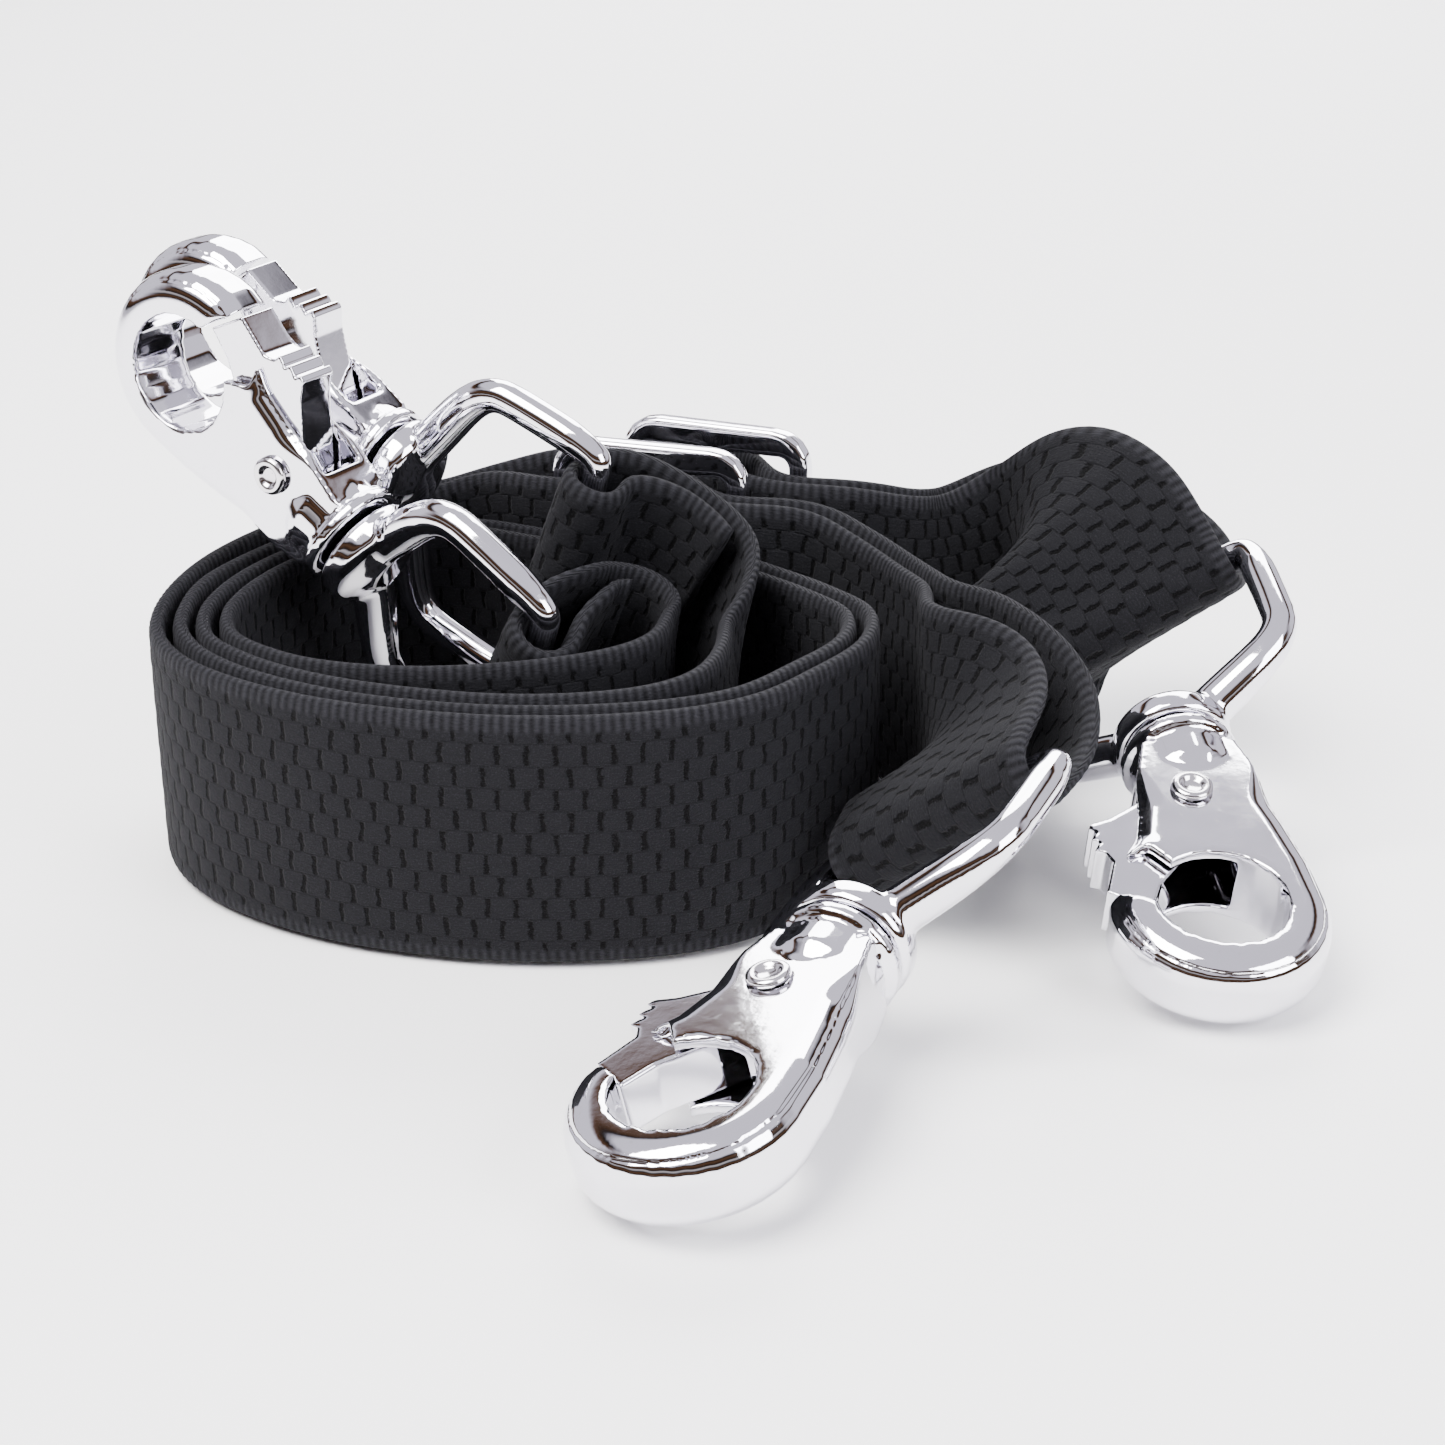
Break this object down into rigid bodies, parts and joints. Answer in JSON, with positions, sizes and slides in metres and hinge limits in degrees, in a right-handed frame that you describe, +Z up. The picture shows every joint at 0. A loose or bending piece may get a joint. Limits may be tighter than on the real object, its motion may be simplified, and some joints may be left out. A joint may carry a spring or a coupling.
{
  "type": "suspenders",
  "caption": "Elastic clip-on suspenders rolled into an upright oval coil, with chrome swivel trigger hooks on the webbing ends and wire slide adjusters",
  "frame": {"origin": "middle of the bounding box in plan, at its lowest point", "axes": "+Z up, across the webbing where the coil stands on its edge; +X along the coil towards the right hook; -Y towards the front hook"},
  "size_m": [0.1222, 0.1218, 0.0555],
  "materials": {
    "black_webbing": "woven elastic, matt",
    "chrome": "polished die casting, plated",
    "spring_steel": "plain drawn wire"
  },
  "bodies": {
    "straps": {"strap_outer": "black_webbing", "strap_inner": "black_webbing"},
    "right_slide": {"right_slide": "chrome"},
    "front_slide": {"front_slide": "chrome"},
    "front_eye": {"front_swivel_eye": "chrome"},
    "front_hook": {"front_hook_body": "chrome", "front_rivet": "chrome", "front_gate_spring": "spring_steel"},
    "front_gate": {"front_gate": "chrome"},
    "right_eye": {"right_swivel_eye": "chrome"},
    "right_hook": {"right_hook_body": "chrome", "right_rivet": "chrome", "right_gate_spring": "spring_steel"},
    "right_gate": {"right_gate": "chrome"},
    "near_eye": {"near_swivel_eye": "chrome"},
    "near_hook": {"near_hook_body": "chrome", "near_rivet": "chrome", "near_gate_spring": "spring_steel"},
    "near_gate": {"near_gate": "chrome"},
    "far_eye": {"far_swivel_eye": "chrome"},
    "far_hook": {"far_hook_body": "chrome", "far_rivet": "chrome", "far_gate_spring": "spring_steel"},
    "far_gate": {"far_gate": "chrome"}
  },
  "joints": [
    {"name": "front_eye_on_webbing", "type": "hinge", "parent": "straps", "child": "front_eye", "pos_m": [0.02432, -0.00914, 0.01446], "axis": [0.6691, -0.443, 0.5966], "range_deg": [-4, 10]},
    {"name": "front_swivel", "type": "hinge", "parent": "front_eye", "child": "front_hook", "pos_m": [0.01399, -0.02979, 0.0107], "axis": [-0.4414, -0.8828, -0.1605], "continuous": true},
    {"name": "front_gate_hinge", "type": "hinge", "parent": "front_hook", "child": "front_gate", "pos_m": [0.00835, -0.03775, 0.00891], "axis": [-0.2035, -0.0757, 0.9761], "range_deg": [0, 22], "stiffness_Nm_per_rad": 0.02, "springref_deg": -17.19},
    {"name": "right_eye_on_webbing", "type": "hinge", "parent": "straps", "child": "right_eye", "pos_m": [0.04561, 0.02951, 0.02008], "axis": [0.8417, -0.0607, 0.5366], "range_deg": [-4, 10]},
    {"name": "right_swivel", "type": "hinge", "parent": "right_eye", "child": "right_hook", "pos_m": [0.04819, 0.00721, 0.0135], "axis": [0.1104, -0.9533, -0.281], "continuous": true},
    {"name": "right_gate_hinge", "type": "hinge", "parent": "right_hook", "child": "right_gate", "pos_m": [0.04778, -0.00231, 0.01076], "axis": [0.0398, -0.2782, 0.9597], "range_deg": [0, 22], "stiffness_Nm_per_rad": 0.02, "springref_deg": -17.19},
    {"name": "near_eye_on_webbing", "type": "hinge", "parent": "straps", "child": "near_eye", "pos_m": [-0.01703, 0.01539, 0.01642], "axis": [0.2981, -0.5399, 0.7872], "range_deg": [0, 8]},
    {"name": "near_swivel", "type": "hinge", "parent": "near_eye", "child": "near_hook", "pos_m": [-0.03351, 0.02551, 0.0296], "axis": [-0.7041, 0.4325, 0.5632], "range_deg": [-8, 5]},
    {"name": "near_gate_hinge", "type": "hinge", "parent": "near_hook", "child": "near_gate", "pos_m": [-0.03971, 0.02927, 0.03636], "axis": [-0.5363, -0.8437, -0.0225], "range_deg": [0, 22], "stiffness_Nm_per_rad": 0.02, "springref_deg": -17.19},
    {"name": "far_eye_on_webbing", "type": "hinge", "parent": "straps", "child": "far_eye", "pos_m": [-0.01255, 0.02772, 0.0249], "axis": [0.3084, -0.2268, 0.9238], "range_deg": [-1, 1.5]},
    {"name": "far_swivel", "type": "hinge", "parent": "far_eye", "child": "far_hook", "pos_m": [-0.03131, 0.03851, 0.03381], "axis": [-0.8016, 0.4609, 0.3808], "range_deg": [-5, 10]},
    {"name": "far_gate_hinge", "type": "hinge", "parent": "far_hook", "child": "far_gate", "pos_m": [-0.03869, 0.0427, 0.03892], "axis": [-0.508, -0.8609, -0.0273], "range_deg": [0, 22], "stiffness_Nm_per_rad": 0.02, "springref_deg": -17.19},
    {"name": "right_slide_run", "type": "slide", "parent": "straps", "child": "right_slide", "axis": [-0.922, 0.3872, 0.0011], "range_m": [-0.0003, 0.0003]},
    {"name": "front_slide_run", "type": "slide", "parent": "straps", "child": "front_slide", "axis": [-0.9496, 0.3134, 0], "range_m": [-0.0003, 0.0003]}
  ]
}
